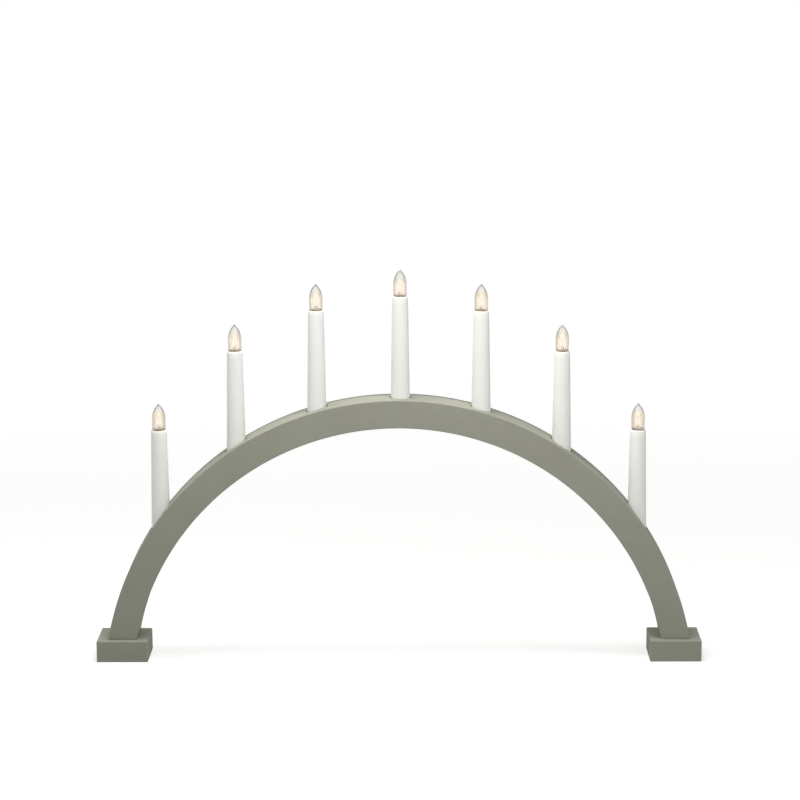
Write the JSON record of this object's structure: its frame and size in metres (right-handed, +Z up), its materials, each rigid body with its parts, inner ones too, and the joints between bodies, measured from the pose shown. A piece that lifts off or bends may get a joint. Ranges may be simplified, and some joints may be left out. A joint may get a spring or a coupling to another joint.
{
  "type": "candle arch",
  "caption": "Electric candle arch: a painted wooden bow on two block feet, with white candle tubes standing in it and clear pointed lamps that screw out of their holders.",
  "frame": {"origin": "centre of the footprint, on the surface that the feet stand on", "axes": "+X along the arch to the foot with the cord's hole, +Y to the back, +Z up"},
  "size_m": [0.58, 0.048, 0.376],
  "materials": {
    "painted_wood": "matt grey-green paint on wood",
    "white_plastic": "satin moulded plastic",
    "clear_glass": "clear blown glass",
    "brass": "pressed brass",
    "filament_and_stem": "glass stem with a lit tungsten filament",
    "solder_and_insulator": "black vitrite with a solder button",
    "holder_plastic": "moulded heat-resistant plastic",
    "wire_insulation": "white PVC insulation",
    "beech": "plain beech dowel",
    "zinc_plated_steel": "bright zinc plate",
    "black_plastic": "satin moulded plastic"
  },
  "bodies": {
    "root": {"bow": "painted_wood", "left_foot": "painted_wood", "right_foot": "painted_wood", "cord_bush": "black_plastic", "foot_dowels": "beech", "foot_screws": "zinc_plated_steel", "wire_cover": "painted_wood", "link_wires": "wire_insulation", "supply_wires": "wire_insulation", "contact_springs": "brass", "candle_tube_1": "white_plastic", "lampholder_1": "holder_plastic", "screw_shell_1": "brass", "candle_tube_2": "white_plastic", "lampholder_2": "holder_plastic", "screw_shell_2": "brass", "candle_tube_3": "white_plastic", "lampholder_3": "holder_plastic", "screw_shell_3": "brass", "candle_tube_4": "white_plastic", "lampholder_4": "holder_plastic", "screw_shell_4": "brass", "candle_tube_5": "white_plastic", "lampholder_5": "holder_plastic", "screw_shell_5": "brass", "candle_tube_6": "white_plastic", "lampholder_6": "holder_plastic", "screw_shell_6": "brass", "candle_tube_7": "white_plastic", "lampholder_7": "holder_plastic", "screw_shell_7": "brass"},
    "lamp_1_contact": {"lamp_base_contact_1": "solder_and_insulator"},
    "lamp_1": {"lamp_glass_1": "clear_glass", "lamp_cap_1": "brass", "lamp_filament_1": "filament_and_stem"},
    "lamp_2_contact": {"lamp_base_contact_2": "solder_and_insulator"},
    "lamp_2": {"lamp_glass_2": "clear_glass", "lamp_cap_2": "brass", "lamp_filament_2": "filament_and_stem"},
    "lamp_3_contact": {"lamp_base_contact_3": "solder_and_insulator"},
    "lamp_3": {"lamp_glass_3": "clear_glass", "lamp_cap_3": "brass", "lamp_filament_3": "filament_and_stem"},
    "lamp_4_contact": {"lamp_base_contact_4": "solder_and_insulator"},
    "lamp_4": {"lamp_glass_4": "clear_glass", "lamp_cap_4": "brass", "lamp_filament_4": "filament_and_stem"},
    "lamp_5_contact": {"lamp_base_contact_5": "solder_and_insulator"},
    "lamp_5": {"lamp_glass_5": "clear_glass", "lamp_cap_5": "brass", "lamp_filament_5": "filament_and_stem"},
    "lamp_6_contact": {"lamp_base_contact_6": "solder_and_insulator"},
    "lamp_6": {"lamp_glass_6": "clear_glass", "lamp_cap_6": "brass", "lamp_filament_6": "filament_and_stem"},
    "lamp_7_contact": {"lamp_base_contact_7": "solder_and_insulator"},
    "lamp_7": {"lamp_glass_7": "clear_glass", "lamp_cap_7": "brass", "lamp_filament_7": "filament_and_stem"}
  },
  "joints": [
    {"name": "lamp_1_lift", "type": "slide", "parent": "root", "child": "lamp_1_contact", "axis": [0, 0, 1], "range_m": [0, 0.00726]},
    {"name": "lamp_1_unscrew", "type": "hinge", "parent": "lamp_1_contact", "child": "lamp_1", "pos_m": [-0.22773, 0, 0.22288], "axis": [0, 0, 1], "range_deg": [0, 1440]},
    {"name": "lamp_2_lift", "type": "slide", "parent": "root", "child": "lamp_2_contact", "axis": [0, 0, 1], "range_m": [0, 0.00726]},
    {"name": "lamp_2_unscrew", "type": "hinge", "parent": "lamp_2_contact", "child": "lamp_2", "pos_m": [-0.15428, 0, 0.29918], "axis": [0, 0, 1], "range_deg": [0, 1440]},
    {"name": "lamp_3_lift", "type": "slide", "parent": "root", "child": "lamp_3_contact", "axis": [0, 0, 1], "range_m": [0, 0.00726]},
    {"name": "lamp_3_unscrew", "type": "hinge", "parent": "lamp_3_contact", "child": "lamp_3", "pos_m": [-0.07714, 0, 0.33777], "axis": [0, 0, 1], "range_deg": [0, 1440]},
    {"name": "lamp_4_lift", "type": "slide", "parent": "root", "child": "lamp_4_contact", "axis": [0, 0, 1], "range_m": [0, 0.00726]},
    {"name": "lamp_4_unscrew", "type": "hinge", "parent": "lamp_4_contact", "child": "lamp_4", "pos_m": [0.00227, 0, 0.35115], "axis": [0, 0, 1], "range_deg": [0, 1440]},
    {"name": "lamp_5_lift", "type": "slide", "parent": "root", "child": "lamp_5_contact", "axis": [0, 0, 1], "range_m": [0, 0.00726]},
    {"name": "lamp_5_unscrew", "type": "hinge", "parent": "lamp_5_contact", "child": "lamp_5", "pos_m": [0.07884, 0, 0.33722], "axis": [0, 0, 1], "range_deg": [0, 1440]},
    {"name": "lamp_6_lift", "type": "slide", "parent": "root", "child": "lamp_6_contact", "axis": [0, 0, 1], "range_m": [0, 0.00726]},
    {"name": "lamp_6_unscrew", "type": "hinge", "parent": "lamp_6_contact", "child": "lamp_6", "pos_m": [0.15541, 0, 0.29837], "axis": [0, 0, 1], "range_deg": [0, 1440]},
    {"name": "lamp_7_lift", "type": "slide", "parent": "root", "child": "lamp_7_contact", "axis": [0, 0, 1], "range_m": [0, 0.00726]},
    {"name": "lamp_7_unscrew", "type": "hinge", "parent": "lamp_7_contact", "child": "lamp_7", "pos_m": [0.22801, 0, 0.22244], "axis": [0, 0, 1], "range_deg": [0, 1440]}
  ],
  "couplings": [
    {"joint": "lamp_1_lift", "follows": "lamp_1_unscrew", "m_per_rad": 0.00028871},
    {"joint": "lamp_2_lift", "follows": "lamp_2_unscrew", "m_per_rad": 0.00028871},
    {"joint": "lamp_3_lift", "follows": "lamp_3_unscrew", "m_per_rad": 0.00028871},
    {"joint": "lamp_4_lift", "follows": "lamp_4_unscrew", "m_per_rad": 0.00028871},
    {"joint": "lamp_5_lift", "follows": "lamp_5_unscrew", "m_per_rad": 0.00028871},
    {"joint": "lamp_6_lift", "follows": "lamp_6_unscrew", "m_per_rad": 0.00028871},
    {"joint": "lamp_7_lift", "follows": "lamp_7_unscrew", "m_per_rad": 0.00028871}
  ]
}
